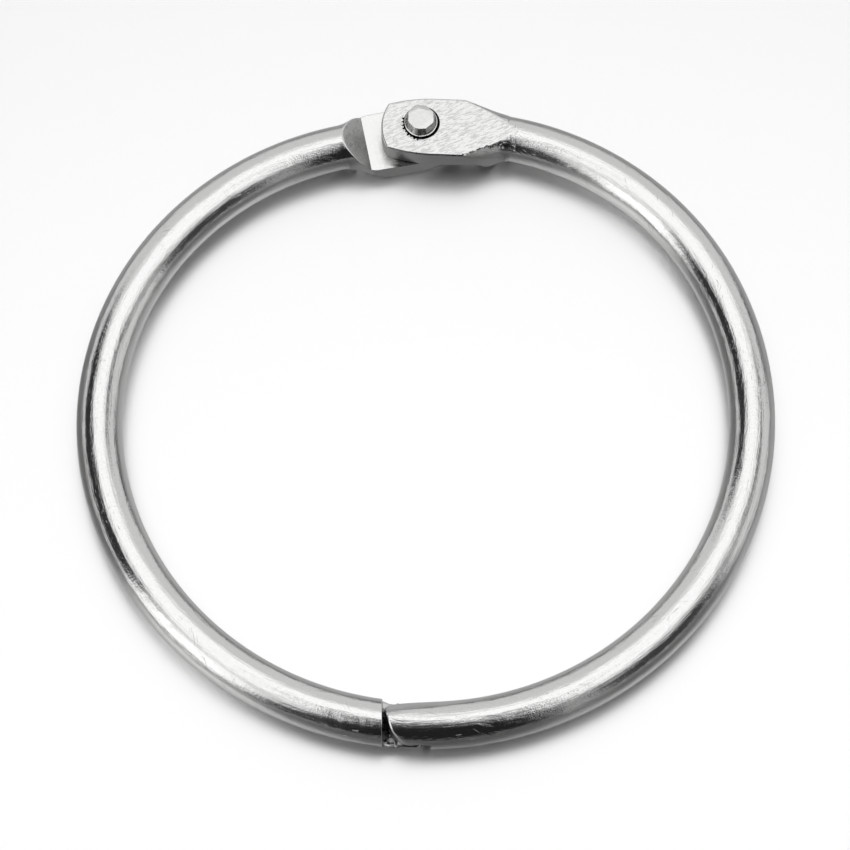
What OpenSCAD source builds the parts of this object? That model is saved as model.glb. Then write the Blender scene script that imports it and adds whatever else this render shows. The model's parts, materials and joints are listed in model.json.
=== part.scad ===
// Loose-leaf binder ring: two half rings of round steel wire on one rivet, closed by a snap clasp.
//
// The ring lies on its back on the plane z = 0, centred on the Z axis, with its hinge towards +Y.
// Each half is the same stamping, one turned over. A half is modelled with its lug and its tongue
// in front, on the +X side, with the middle of the wire at z = 0; then it is turned and lifted.

/* [Ring] */
// Clear diameter inside the closed ring
inner_d = 50; // [40:1:76]
// Diameter of the round wire
wire_d = 3.8; // [3.1:0.05:4.6]

/* [Bend] */
// Direction from the ring's centre where the right half starts its tighter bend, from +X
right_bend_from = 25.6; // [10:0.1:40]
// How much tighter that bend's radius is
right_tighten = 2.3; // [0.5:0.05:3]
// Direction from the ring's centre where the left half starts its tighter bend, from -X
left_bend_from = -12.8; // [-25:0.1:25]
// How much tighter that bend's radius is
left_tighten = 1.65; // [0.5:0.05:2.5]

/* [Lug] */
// Sideways place of the rivet, from the ring's centre
hinge_x = -0.4; // [-1.5:0.05:1.5]
// How far the rivet lies inside the centre line of the wire
hinge_inset = 1.15; // [0.5:0.05:1.8]
// How far the right lug's axis passes under the rivet
right_lug_drop = 0.35; // [0:0.05:0.6]
// How far the left lug's axis passes under the rivet
left_lug_drop = 0.2; // [0:0.05:0.6]
// Width of a lug
lug_w = 5.35; // [4.8:0.05:6.5]
// Distance from the rivet to the lug's end
lug_end = 3.35; // [2.7:0.05:4.2]
// Radius of the lug's gently rounded end
lug_end_r = 4.2; // [3.4:0.05:6]
// Radius of the lug's bowed long edges
lug_side_r = 12.6; // [10:0.1:30]
// Distance from the rivet to the lug's widest place
lug_widest = 1.1; // [0.5:0.05:2]
// Distance from the rivet to where the wire has spread to the lug's width
spread_to = 4.4; // [3.6:0.05:5]
// Distance from the rivet to where the round wire starts to spread
spread_from = 7.3; // [6:0.05:9]
// How far the pressed flat lies below the crown of the wire
coin_depth = 0.05; // [0.03:0.01:0.15]
// Distance from the rivet to where the pressed flat starts
coin_from = 8.15; // [7.5:0.05:10]
// Distance from the rivet to the foot of the ramp
ramp_foot = 4.73; // [4.3:0.01:5.8]
// Length of the ramp along the wire
ramp_len = 1.95; // [1:0.05:3]
// Gap between the two lugs
lug_gap = 0.04; // [0.02:0.01:0.2]

/* [Rivet] */
// Diameter of the hole through each lug
bore_d = 2.3; // [1.8:0.05:2.8]
// Clearance round the shank in the lug that turns
shank_gap = 0.05; // [0.02:0.01:0.1]
// Diameter of the countersink's mouth
sink_d = 2.95; // [2.85:0.05:3.6]
// Depth of the countersink
sink_depth = 0.55; // [0.3:0.05:0.8]
// How far the head stands out of the lug
head_h = 1.05; // [0.6:0.05:1.3]
// Room between the head's rim and the countersink's mouth
rim_gap = 0.15; // [0.1:0.01:0.2]
// Height of the head's rim above the lug
rim_h = 0.3; // [0.15:0.01:0.35]
// Diameter of the head's flat top
head_top_d = 2.16; // [1.6:0.02:2.2]
// Number of hammered facets round the head
facets = 8; // [5:1:9]
// How deep the facets cut into the head's edge
facet_cut = 0.05; // [0.02:0.01:0.08]

/* [Clasp] */
// Sideways place of the clasp's middle, from the ring's centre
clasp_x = -1.5; // [-3:0.05:3]
// Length of the lap, from one half's shoulder to the other's
lap_len = 3.9; // [3.4:0.05:5]
// Gap between a tongue's nose and the shoulder that it faces
nose_gap = 0.2; // [0.1:0.05:0.4]
// Gap between the two tongues
lap_gap = 0.08; // [0.04:0.01:0.2]
// How much is pressed off the tongue's outer side, at its nose
side_trim = 0.12; // [0.05:0.01:0.25]
// How much is pressed off the tongue's inner side, at its nose
nose_taper = 0.5; // [0.3:0.05:0.6]
// How deep a sloping flat is pressed into the tongue's inner side, at its nose
flat_depth = 0.55; // [0.1:0.05:0.7]
// Slope of that flat's outward direction above the ring's plane
flat_slope = 36; // [20:1:50]
// Angle between that flat and the wire at the nose, at which it runs out
flat_run_out = 15.5; // [14:0.5:20]
// How far behind the shoulder the lines of the pressed sides end, clear of the round wire
side_run = 1.2; // [0.8:0.1:2]
// How far off the wire the line of the outer side ends
outer_clear = 0.1; // [0.08:0.01:0.2]
// How far off the wire the line of the inner side ends
inner_clear = 0.17; // [0.1:0.01:0.25]
// Angle by which the nose is cut back towards its outer side
nose_slant = 19; // [0:1:25]
// Radius of the nose's outer corner
nose_outer_r = 0.55; // [0.3:0.05:0.8]
// Radius of the nose's inner corner
nose_inner_r = 0.75; // [0.3:0.05:0.9]
// Height of the snap tooth
tooth_h = 0.3; // [0.15:0.01:0.4]
// Distance from the clasp's middle to each tooth's crest
tooth_x = 1.0; // [0.8:0.05:1.1]
// Length of the tooth's easy slope, towards the nose
tooth_lead = 0.4; // [0.2:0.05:0.45]
// Length of the tooth's steep slope, which holds
tooth_catch = 0.2; // [0.1:0.05:0.3]
// Clearance of a tooth in its groove
tooth_gap = 0.06; // [0.03:0.01:0.1]

/* [Hidden] */

$fn = 96;
WIRE_FN = 48;
STEEL = "#c9cbcd";
RIVET_STEEL = "#b4b6b9";

wire_r = wire_d / 2;
ring_r = inner_d / 2 + wire_r;            // centre line of the wire
hinge_y = ring_r - hinge_inset;
face_z = wire_r - coin_depth;             // the pressed flat
bore_r = bore_d / 2;
shank_r = bore_r - shank_gap;
sink_r = sink_d / 2;
sink_slope = (sink_r - bore_r) / sink_depth;
rim_r = sink_r - rim_gap;
top_r = head_top_d / 2;
far = ring_r + wire_d;                    // beyond the whole ring
deep = 2 * wire_d;                        // beyond the wire's thickness

// The wire's end caps lie this far inside the metal that joins them
BURY = 1.2;

// ---- the wire ----

// Centre of the tighter bend near the hinge
function bend_centre(from, tighten) = tighten * [cos(from), sin(from)];

// Height of the wire's centre line at a sideways place, on that bend
function bend_y(x, from, tighten) =
    let (c = bend_centre(from, tighten), r = ring_r - tighten)
    c[1] + sqrt(r * r - (x - c[0]) * (x - c[0]));

// Direction of a place on that bend, seen from the bend's centre
function bend_angle(x, from, tighten) =
    acos((x - bend_centre(from, tighten)[0]) / (ring_r - tighten));

// A round bar bent to radius r about the Z axis, from the +X axis through an angle
module arc(r, turn) {
    rotate_extrude(angle = turn)
        translate([r, 0]) circle(wire_r, $fn = WIRE_FN);
}

// ---- the lug, in its own frame: the rivet at the origin, the wire towards +X ----

// Outline of the lug and of the wire's spread, seen from the front
module lug_outline() {
    half_w = lug_w / 2;
    intersection() {
        union() {
            intersection() {
                translate([lug_widest, lug_side_r - half_w]) circle(lug_side_r);
                translate([lug_widest, half_w - lug_side_r]) circle(lug_side_r);
                translate([-lug_side_r, -half_w]) square([lug_side_r + lug_widest, lug_w]);
            }
            polygon([
                [lug_widest, half_w], [spread_to, half_w], [spread_from, wire_r],
                [spread_from, -wire_r], [spread_to, -half_w], [lug_widest, -half_w]
            ]);
        }
        union() {
            translate([lug_end_r - lug_end, 0]) circle(lug_end_r);
            translate([lug_end_r - lug_end, -lug_w]) square([spread_from + lug_end, 2 * lug_w]);
        }
    }
}

// The lug before its lap is cut: flat where it is wide, and round where it joins the wire
module lug_blank() {
    corner_r = norm([lug_w / 2, face_z]);   // from the lug's axis to the corners of its section
    corner_x = spread_to - wire_r / 2;      // where the cone, growing from the wire, clears them
    growth = (corner_r - wire_r) / (spread_from - corner_x);
    reach = spread_from + lug_end + wire_r;
    intersection() {
        translate([0, 0, -face_z]) linear_extrude(2 * face_z) lug_outline();
        translate([spread_from, 0, 0]) rotate([0, -90, 0])
            cylinder(h = reach, r1 = wire_r, r2 = wire_r + growth * reach);
    }
}

// What is pressed away behind the lug: half the thickness, ending in a ramp
module lug_lap() {
    slope = ramp_len / wire_r;
    rotate([90, 0, 0]) translate([0, 0, -far]) linear_extrude(2 * far)
        polygon([
            [-far, -deep], [-far, lug_gap / 2], [ramp_foot, lug_gap / 2],
            [ramp_foot + slope * (deep + lug_gap / 2), -deep]
        ]);
}

// What is pressed away in front of the lug: a shallow flat with a round end
module lug_coin() {
    chord = 2 * sqrt(wire_r * wire_r - face_z * face_z);   // width of the flat on the round wire
    end_x = coin_from - chord;
    translate([0, 0, face_z]) {
        translate([-far, -far, 0]) cube([far + spread_from, 2 * far, deep]);
        translate([spread_from - BURY, -chord, 0])
            cube([end_x - spread_from + BURY, 2 * chord, deep]);
        translate([end_x, 0, 0]) cylinder(h = deep, r = chord);
    }
}

// Hole and countersink for the rivet
module lug_bore() {
    translate([0, 0, -deep]) cylinder(h = 2 * deep, r = bore_r);
    translate([0, 0, face_z - sink_depth])
        cylinder(h = sink_depth * 2, r1 = bore_r, r2 = bore_r + sink_slope * sink_depth * 2);
}

// ---- the tongue ----

// Height of the wire's outer or inner side, at a sideways place near the clasp
function side_y(x, r) = -sqrt(r * r - x * x);

// Outline of the tongue, seen from the front: a slanted nose with two round corners, between two
// straight sides that cut the wire near the nose and leave it before the shoulder
module tongue_outline(mid_x) {
    nose_x = mid_x - lap_len / 2 + nose_gap;
    clear_x = mid_x + lap_len / 2 + side_run;
    clear_outer = side_y(clear_x, ring_r + wire_r) - outer_clear;
    clear_inner = side_y(clear_x, ring_r - wire_r) + inner_clear;
    outer = side_y(nose_x, ring_r + wire_r) + side_trim;
    inner = side_y(nose_x, ring_r - wire_r) - nose_taper;
    away = 2 * side_run;                  // past the edge of the waste that is cut with this
    // the nose's slanted front touches both corner rounds
    to_nose = -[cos(nose_slant), sin(nose_slant)];
    inner_c = [nose_x + nose_inner_r, inner - nose_inner_r];
    outer_c_y = outer + nose_outer_r;
    outer_c_x = (nose_inner_r - nose_outer_r + to_nose * inner_c - to_nose[1] * outer_c_y) / to_nose[0];
    outer_c = [outer_c_x, outer_c_y];
    translate(inner_c) circle(nose_inner_r);
    translate(outer_c) circle(nose_outer_r);
    polygon([
        outer_c + nose_outer_r * to_nose, inner_c + nose_inner_r * to_nose, inner_c,
        [inner_c[0], inner], [clear_x, clear_inner], [clear_x + away, clear_inner + away],
        [clear_x + away, clear_outer - away], [clear_x, clear_outer], [outer_c[0], outer], outer_c
    ]);
}

// What is pressed off the tongue's inner side in a sloping flat, deepest at the nose
module tongue_flat(mid_x) {
    nose_x = mid_x - lap_len / 2 + nose_gap;
    nose_turn = asin(nose_x / ring_r);    // the wire's own direction there
    translate([nose_x, side_y(nose_x, ring_r), 0])
        rotate([0, 0, 90 + nose_turn + flat_run_out]) rotate([0, -flat_slope, 0])
            translate([wire_r - flat_depth, -lap_len - 2 * side_run, -deep])
                cube([deep, lap_len + 2 * side_run + wire_r, 2 * deep]);
}

// What is pressed away round the tongue
module tongue_waste(mid_x) {
    edge_x = mid_x + lap_len / 2 + 2 * side_run;
    translate([0, 0, -deep]) linear_extrude(2 * deep)
        difference() {
            translate([-far, -far]) square([far + edge_x, far]);
            tongue_outline(mid_x);
        }
}

// What is pressed away behind the tongue. Its edge is the tongue's lap face, with the tooth near
// the nose and the groove for the other half's tooth near the shoulder
module tongue_lap(mid_x) {
    z = lap_gap / 2;
    groove = tooth_h + tooth_gap;
    translate([mid_x, 0, 0]) rotate([90, 0, 0]) linear_extrude(far)
        polygon([
            [-far, -deep], [-far, z], [-tooth_x - tooth_lead, z], [-tooth_x, z - tooth_h],
            [-tooth_x + tooth_catch, z], [tooth_x - tooth_catch - tooth_gap, z],
            [tooth_x - tooth_gap, z + groove], [tooth_x + tooth_gap, z + groove],
            [tooth_x + tooth_lead + tooth_gap, z], [lap_len / 2, z], [lap_len / 2, -deep]
        ]);
}

// ---- a half ring, with its lug and tongue in front ----

module half_ring(rivet_x, mid_x, bend_from, tighten, drop) {
    // the lug points from the rivet to the middle of the wire
    lean = atan2(bend_y(rivet_x + spread_from, bend_from, tighten) - hinge_y + drop, spread_from);
    end_turn = bend_angle(rivet_x + spread_to - BURY, bend_from, tighten) - bend_from;
    // the wire is drawn past the nose, which the tongue's waste then trims
    clasp_turn = bend_from + 90 - asin((mid_x - lap_len) / ring_r);
    translate([0, 0, wire_r])
        difference() {
            union() {
                rotate([0, 0, bend_from]) {
                    arc(ring_r, -clasp_turn);
                    translate([tighten, 0, 0]) arc(ring_r - tighten, end_turn);
                }
                translate([rivet_x, hinge_y - drop, 0]) rotate([0, 0, lean]) lug_blank();
            }
            translate([rivet_x, hinge_y - drop, 0]) rotate([0, 0, lean]) {
                lug_lap();
                lug_coin();
            }
            translate([rivet_x, hinge_y, 0]) lug_bore();
            tongue_waste(mid_x);
            tongue_flat(mid_x);
            tongue_lap(mid_x);
        }
}

module right_half_ring() {
    color(STEEL) half_ring(hinge_x, clasp_x, right_bend_from, right_tighten, right_lug_drop);
}

// The same stamping, turned over about the Y axis at the middle of the wire
module left_half_ring() {
    color(STEEL) translate([0, 0, wire_d]) rotate([0, 180, 0])
        half_ring(-hinge_x, -clasp_x, left_bend_from, left_tighten, left_lug_drop);
}

// ---- the rivet ----

// The shank fills the rear lug and its countersink, and runs free in the front lug. The head sits
// in the front lug's countersink with a little room
module hinge_rivet() {
    seat_r = shank_r + sink_slope * (sink_depth - shank_gap);
    color(RIVET_STEEL) translate([hinge_x, hinge_y, wire_r])
        difference() {
            rotate_extrude() polygon([
                [0, -face_z], [sink_r, -face_z], [bore_r, -face_z + sink_depth], [bore_r, 0],
                [shank_r, 0], [shank_r, face_z - sink_depth], [seat_r, face_z - shank_gap],
                [rim_r, face_z], [rim_r, face_z + rim_h], [top_r, face_z + head_h],
                [0, face_z + head_h]
            ]);
            for (i = [0 : facets - 1])
                rotate([0, 0, i * 360 / facets]) facet();
        }
}

// A flat cut across the edge of the rivet's head
module facet() {
    lean = atan2(head_h - rim_h, rim_r - top_r);
    translate([(rim_r + top_r) / 2, 0, face_z + (rim_h + head_h) / 2])
        rotate([0, lean - 90, 0]) translate([-facet_cut, -rim_r, -rim_r])
            cube(2 * rim_r);
}

left_half_ring();
right_half_ring();
hinge_rivet();
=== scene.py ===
import json
import math

import bpy
import numpy as np
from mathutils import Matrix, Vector


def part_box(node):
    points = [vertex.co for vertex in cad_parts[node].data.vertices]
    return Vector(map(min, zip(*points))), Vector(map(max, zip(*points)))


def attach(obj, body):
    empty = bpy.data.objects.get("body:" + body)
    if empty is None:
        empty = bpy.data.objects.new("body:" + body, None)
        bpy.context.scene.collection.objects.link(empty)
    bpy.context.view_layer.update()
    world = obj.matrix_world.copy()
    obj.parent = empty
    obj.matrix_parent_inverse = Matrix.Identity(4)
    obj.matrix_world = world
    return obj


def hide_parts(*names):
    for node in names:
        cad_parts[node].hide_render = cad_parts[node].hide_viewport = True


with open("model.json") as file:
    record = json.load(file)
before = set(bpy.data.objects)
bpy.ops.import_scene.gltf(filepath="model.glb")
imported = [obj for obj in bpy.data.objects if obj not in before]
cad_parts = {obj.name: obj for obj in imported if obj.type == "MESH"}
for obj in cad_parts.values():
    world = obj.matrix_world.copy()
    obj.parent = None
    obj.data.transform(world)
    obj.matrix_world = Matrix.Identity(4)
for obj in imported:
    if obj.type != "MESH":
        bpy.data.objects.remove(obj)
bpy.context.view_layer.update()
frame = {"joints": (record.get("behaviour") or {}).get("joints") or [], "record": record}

record = frame["record"]
MM = 0.001

# A hinged binder ring: two half rings of plated wire, and the rivet that joins them at their lugs. The
# shape of each piece is a distance function, and its mesh is found by casting rays out from inside it.

# ---- sizes, in millimetres: the driving ones are read from the frame ----

mounts = {m["name"]: m for m in record["mounts"]}
hinge = frame["joints"][0]["pos_m"]
half_low, half_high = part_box("left_half_ring")

WIRE_R = (half_high.z - half_low.z) / MM / 2
RING_R = mounts["paper_hole_wire"]["pos_m"][0] / MM
MID_Z = mounts["paper_hole_wire"]["pos_m"][2] / MM
FACE_Z = MID_Z - mounts["rear_lug_flat"]["pos_m"][2] / MM     # the pressed flats, from the mid-plane
HINGE_X, HINGE_Y = hinge[0] / MM, hinge[1] / MM
CLASP_X = -1.5

# the lug, along its own axis from the rivet
LUG_HALF_W = 2.675
LUG_END = 3.35
LUG_END_R = 4.2
LUG_SIDE_R = 12.6
LUG_WIDEST = 1.1
SPREAD_TO = 4.4               # the lug is spread to its full width up to here,
SPREAD_FROM = 7.3             # and the wire is still round from here on
WIRE_FROM = SPREAD_TO - 1.2   # the round wire ends inside the lug
COIN_FROM = 8.15              # the front flat runs out on the wire here
RAMP_FOOT = 4.73
RAMP_LEN = 1.95
LUG_GAP = 0.04

# pits torn in the edge of the coined face, along the same axis
TEARS = 26
TEAR_FROM = 2.9
TEAR_TO = 7.8
TEAR_GROWS = 5.9              # past here, at the neck, they are larger and lie further out
TEAR_R = 0.07
TEAR_INNERMOST = 1.1          # none lies closer to the axis

# the rivet and its countersinks
RIVET_BACK = -2 * FACE_Z      # the rear lug's back, from the front lug's face
BORE_R = 1.15
SHANK_R = 1.1
SINK_R = 1.475
SINK_DEPTH = 0.55
SINK_LIP = 0.04               # the softened mouth
SINK_SLIP = (0.06, -0.03)     # the front countersink was punched a little off the bore
NICK = 0.16                   # how far the burr's nicks reach out from its mouth
NICKED = (math.radians(160), math.radians(264))     # the part of the mouth that has them
RIM_R = 1.325
RIM_H = 0.3
TOP_R = 1.15
HEAD_H = 1.05
FACETS = 8
FACET_CUT = 0.05
# broad flats across the top: turn in radians, lean in degrees, and height as a share of the head's
TOP_FLATS = ((1.3, 13, 0.99), (2.1, 9, 1.0), (0.4, 7, 1.01), (-0.9, 9, 1.0), (3.6, 4, 1.02))

# the tongue
LAP_LEN = 3.9
NOSE_GAP = 0.2
LAP_GAP = 0.08
SIDE_TRIM = 0.12
NOSE_TAPER = 0.5
SIDE_RUN = 1.2
OUTER_CLEAR = 0.1
INNER_CLEAR = 0.17
NOSE_SLANT = math.radians(16)
NOSE_INNER_R = 0.75
FLAT_DEPTH = 0.55
FLAT_SLOPE = math.radians(36)
FLAT_RUN_OUT = math.radians(15.5)
TOOTH_H = 0.3
TOOTH_X = 1.0
TOOTH_LEAD = 0.4
TOOTH_CATCH = 0.2
TOOTH_GAP = 0.06
# where the tooth and the groove begin, turn and end, from the lap's middle
LAP_KNOTS = (-TOOTH_X - TOOTH_LEAD, -TOOTH_X, -TOOTH_X + TOOTH_CATCH,
             TOOTH_X - TOOTH_CATCH - TOOTH_GAP, TOOTH_X - TOOTH_GAP, TOOTH_X + TOOTH_LEAD)

# roundings
EDGE_R = 0.07                 # pressed edges
NECK_BLEND = 0.3              # how widely the lug and the wire flow into each other
LUG_CORNER_R = 0.06           # where the lug's sides meet its end
LUG_EDGE_R = 0.18             # round the coined face, which the die squeezed outwards
COIN_EDGE_R = 0.015           # where that face runs out on the neck
FLAT_EDGE_R = 0.3             # round the flat on the tongue's inner side
NOSE_EDGE_R = 0.16            # round the end of each tongue
CRISP_R = 0.02                # the same edge beside the shoulder
LAP_EDGE_R = 0.25             # along the tongues, where the wire rolled over the die
SHOULDER_EDGE_R = 1.0         # the same, drawn in further beside the shoulder
FACET_EDGE_R = 0.02
RIM_EDGE_R = 0.05
RIVET_EDGE_R = 0.03           # the rivet's top and its staked end

# the camera and the studio, in degrees and metres
CAMERA_ELEVATION = 68
CAMERA_DISTANCE = 0.3025
CAMERA_LENS = 155.4
CAMERA_SHIFT = (-0.0007, -0.0145)
ROOM = 0.82                   # brightness of the world
FLOOR_HALF = 1.6
FLOOR_Z = -0.02 * MM          # just clear of the wire


# ---- distance functions: negative inside the metal ----

NONE = -1e3            # the value of a cut that doesn't reach a point


def round_max(a, b, radius, cosine=0.0):
    """What is inside both a and b, with a round edge. cosine is that of their normals' angle."""
    pa, pb = a + radius, b + radius
    along_a = (pa - cosine * pb) / (1 - cosine * cosine)
    along_b = (pb - cosine * pa) / (1 - cosine * cosine)
    on_edge = (along_a > 0) & (along_b > 0)
    to_axis = np.sqrt(np.maximum(along_a ** 2 + along_b ** 2 + 2 * cosine * along_a * along_b, 0))
    return np.where(on_edge, to_axis - radius, np.maximum(a, b))


def smooth_min(a, b, width):
    """What is inside a or b, with the crease between them filled."""
    share = np.clip(0.5 + 0.5 * (b - a) / width, 0, 1)
    return b + (a - b) * share - width * share * (1 - share)


def ease(t):
    """0 up to t = 0 and 1 from t = 1 on, with a smooth step between."""
    t = np.clip(t, 0, 1)
    return t * t * (3 - 2 * t)


def side_y(x, radius):
    """Y on the lower half of a circle round the ring's middle."""
    return -math.sqrt(radius * radius - x * x)


def gradient(distance, p, step=0.003):
    """The surface's own outward normal at each point."""
    g = np.stack([distance(p + step * axis) - distance(p - step * axis) for axis in np.eye(3)], -1)
    return g / np.maximum(np.linalg.norm(g, axis=-1, keepdims=True), 1e-12)


class Half:
    """One half ring as stamped: lug and tongue in front, on the +X side, the wire's middle at z = 0.

    rivet_x, mid_x: where its rivet and the middle of its lap lie
    bend_from, tighten: from this angle up to the lug the wire bends tighter than the ring, by this much
    drop: how far the lug's axis passes below the rivet
    narrow_to: where the lug has narrowed to the wire
    corner_r: rounding of the lug's outline where it starts to narrow
    nose_r: rounding of the tongue's outer corner
    """

    def __init__(self, rivet_x, mid_x, bend_from, tighten, drop, narrow_to, corner_r, nose_r):
        self.mid_x = mid_x
        self.narrow_to = narrow_to
        self.narrowing = (LUG_HALF_W - WIRE_R) / (narrow_to - SPREAD_TO)
        self.growth = (math.hypot(LUG_HALF_W, FACE_Z) - WIRE_R) / (narrow_to - SPREAD_TO + WIRE_R / 2)
        self.corner_r = corner_r
        self.nose_r = nose_r
        self.bend_from = math.radians(bend_from)
        self.bend_c = tighten * np.array([math.cos(self.bend_from), math.sin(self.bend_from)])
        self.bend_r = RING_R - tighten
        self.lug_o = np.array([rivet_x, HINGE_Y - drop])
        self.rivet = np.array([rivet_x, HINGE_Y])
        joins_y = self.bend_y(rivet_x + SPREAD_FROM)
        self.lean = math.atan2(joins_y - self.lug_o[1], SPREAD_FROM)
        self.nose_x = mid_x - LAP_LEN / 2 + NOSE_GAP
        self.shoulder_x = mid_x + LAP_LEN / 2
        self.clear_x = self.shoulder_x + SIDE_RUN
        self.tears = [self.tear(k) for k in range(TEARS)]

    def cone_r(self, u):
        """Radius of the cone that rounds the lug's corners off towards the wire."""
        return WIRE_R + self.growth * (self.narrow_to - u)

    def tear(self, k):
        """Centre and radius, on the lug's axes, of a pit torn in the coined face's edge.

        The sines make each pit a little different from the next.
        """
        u = TEAR_FROM + (TEAR_TO - TEAR_FROM) * k / (TEARS - 1)
        corner_r = max(self.cone_r(u), WIRE_R)
        edge = min(LUG_HALF_W, math.sqrt(max(corner_r ** 2 - FACE_Z ** 2, 0)))
        grown = 0.5 + 0.5 * math.tanh(3 * (u - TEAR_GROWS))
        out = max(edge, TEAR_INNERMOST) + grown * (0.3 + 0.1 * math.sin(2.1 * k))
        z = min(FACE_Z, math.sqrt(max(corner_r ** 2 - out ** 2, 0)))
        radius = TEAR_R + TEAR_R / 2 * math.sin(1.9 * k)
        return (u, -out, z), radius + grown * (0.08 + 0.06 * math.sin(1.3 * k + 0.5))

    def to_tears(self, u, v, z):
        """For each pit, the distance to its middle and its radius."""
        for centre, radius in self.tears:
            yield np.sqrt((u - centre[0]) ** 2 + (v - centre[1]) ** 2 + (z - centre[2]) ** 2), radius

    def bend_y(self, x):
        """Y of the wire's middle on the tighter bend."""
        return self.bend_c[1] + math.sqrt(self.bend_r ** 2 - (x - self.bend_c[0]) ** 2)

    def lug_axes(self, x, y):
        """Place along the lug, from its middle towards the wire, and across it."""
        dx, dy = x - self.lug_o[0], y - self.lug_o[1]
        c, s = math.cos(self.lean), math.sin(self.lean)
        return c * dx + s * dy, c * dy - s * dx

    def wire(self, x, y, z):
        """The round wire, on the main arc and on the tighter bend."""
        on_bend = math.cos(self.bend_from) * y - math.sin(self.bend_from) * x > 0
        cx = np.where(on_bend, self.bend_c[0], 0)
        cy = np.where(on_bend, self.bend_c[1], 0)
        r = np.where(on_bend, self.bend_r, RING_R)
        return np.hypot(np.hypot(x - cx, y - cy) - r, z) - WIRE_R

    def blank(self, u, v, z):
        """The lug before its lap is pressed: flat where it is wide, round where it joins the wire."""
        v = np.abs(v)
        bowed = np.hypot(u - LUG_WIDEST, v + LUG_SIDE_R - LUG_HALF_W) - LUG_SIDE_R
        spread = (v - LUG_HALF_W + (u - SPREAD_TO) * self.narrowing) / math.hypot(1, self.narrowing)
        straight = round_max(v - LUG_HALF_W, spread, self.corner_r, math.cos(math.atan(self.narrowing)))
        side = np.where(u < LUG_WIDEST, bowed, straight)
        end_c = LUG_END_R - LUG_END
        end = np.where(u < end_c, np.hypot(u - end_c, v) - LUG_END_R, NONE)
        cone = (np.hypot(v, z) - self.cone_r(u)) / math.hypot(1, self.growth)
        outline = round_max(side, end, LUG_CORNER_R)
        flat = round_max(outline, np.abs(z) - FACE_Z, LUG_EDGE_R)
        return np.maximum(round_max(flat, cone, EDGE_R), u - SPREAD_FROM)

    def lug_cuts(self, u, v, z):
        """Inside what the lap's ramp leaves, and inside what the front flat leaves."""
        foot_z = LUG_GAP / 2
        slope = RAMP_LEN / WIRE_R
        ramp = (RAMP_FOOT + slope * (foot_z - z) - u) / math.hypot(1, slope)
        chord = 2 * math.sqrt(WIRE_R ** 2 - FACE_Z ** 2)
        end_x = COIN_FROM - chord
        within = np.minimum(u - end_x, np.hypot(u - end_x, v) - chord)
        return np.minimum(foot_z - z, ramp), np.minimum(z - FACE_Z, -within)

    def tongue(self, x, y):
        """Outline of the tongue, seen from the front."""
        inner = np.array([self.nose_x, side_y(self.nose_x, RING_R - WIRE_R) - NOSE_TAPER])
        inner_end = np.array([self.clear_x, side_y(self.clear_x, RING_R - WIRE_R) + INNER_CLEAR])
        outer = np.array([self.nose_x, side_y(self.nose_x, RING_R + WIRE_R) + SIDE_TRIM])
        outer_end = np.array([self.clear_x, side_y(self.clear_x, RING_R + WIRE_R) - OUTER_CLEAR])
        nose_n = -np.array([math.cos(NOSE_SLANT), math.sin(NOSE_SLANT)])
        inner_c = inner + np.array([NOSE_INNER_R, -NOSE_INNER_R])

        def beyond(start, end, sign):
            along = (end - start) / np.linalg.norm(end - start)
            normal = sign * np.array([-along[1], along[0]])
            return normal[0] * (x - start[0]) + normal[1] * (y - start[1]), normal

        past_in, in_n = beyond(inner, inner_end, 1)
        past_out, out_n = beyond(outer, outer_end, -1)
        past_nose = nose_n[0] * (x - inner_c[0]) + nose_n[1] * (y - inner_c[1]) - NOSE_INNER_R
        inside = round_max(past_in, past_nose, NOSE_INNER_R, float(in_n @ nose_n))
        return round_max(inside, past_out, self.nose_r, float(out_n @ nose_n))

    def nose_flat(self, x, y, z):
        """The flat pressed into the tongue's inner side."""
        turn = math.pi / 2 + math.asin(self.nose_x / RING_R) + FLAT_RUN_OUT
        level, rise = math.cos(FLAT_SLOPE), math.sin(FLAT_SLOPE)
        n = (math.cos(turn) * level, math.sin(turn) * level, rise)
        y0 = side_y(self.nose_x, RING_R)
        return n[0] * (x - self.nose_x) + n[1] * (y - y0) + n[2] * z - (WIRE_R - FLAT_DEPTH)

    def lap_height(self, x):
        """Height of the tongue's lap face, with its tooth and its groove."""
        z = LAP_GAP / 2
        groove = z + TOOTH_H + TOOTH_GAP
        heights = [z, z - TOOTH_H, z, z, groove, groove, z]
        return np.interp(x - self.mid_x, [*LAP_KNOTS, LAP_LEN / 2], heights)

    def distance(self, p):
        """The whole half ring, but for the bore of its lug."""
        x, y, z = p[..., 0], p[..., 1], p[..., 2]
        at_hinge, at_clasp = y > 0, (y < 0) & (x < self.clear_x)
        near_nose = (y < 0) & (x < self.nose_x + LAP_LEN + 2 * SIDE_RUN)
        u, v = self.lug_axes(x, y)

        # the lug grows out of the wire, and its two flats are pressed into it
        wire_end = np.where(at_hinge, WIRE_FROM - u, NONE)
        wire = np.maximum(self.wire(x, y, z), wire_end)
        lug = np.where(at_hinge, self.blank(u, v, z), -NONE)
        metal = np.maximum(smooth_min(wire, lug, NECK_BLEND), np.abs(z) - WIRE_R)
        lap, coin = self.lug_cuts(u, v, z)
        metal = round_max(metal, np.where(at_hinge, coin, NONE), COIN_EDGE_R)
        metal = round_max(metal, np.where(at_hinge, lap, NONE), EDGE_R)

        # the tongue's flat, and its outline: crisp at the shoulder, worn towards the nose
        metal = round_max(metal, np.where(near_nose, self.nose_flat(x, y, z), NONE), FLAT_EDGE_R)
        worn = CRISP_R + (NOSE_EDGE_R - CRISP_R) * ease((self.shoulder_x - 0.2 - x) / 1.2)
        metal = round_max(metal, np.where(at_clasp, self.tongue(x, y), NONE), worn)

        for to_pit, radius in self.to_tears(u, v, z):
            metal = np.maximum(metal, np.where(at_hinge, radius - to_pit, NONE))

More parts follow.
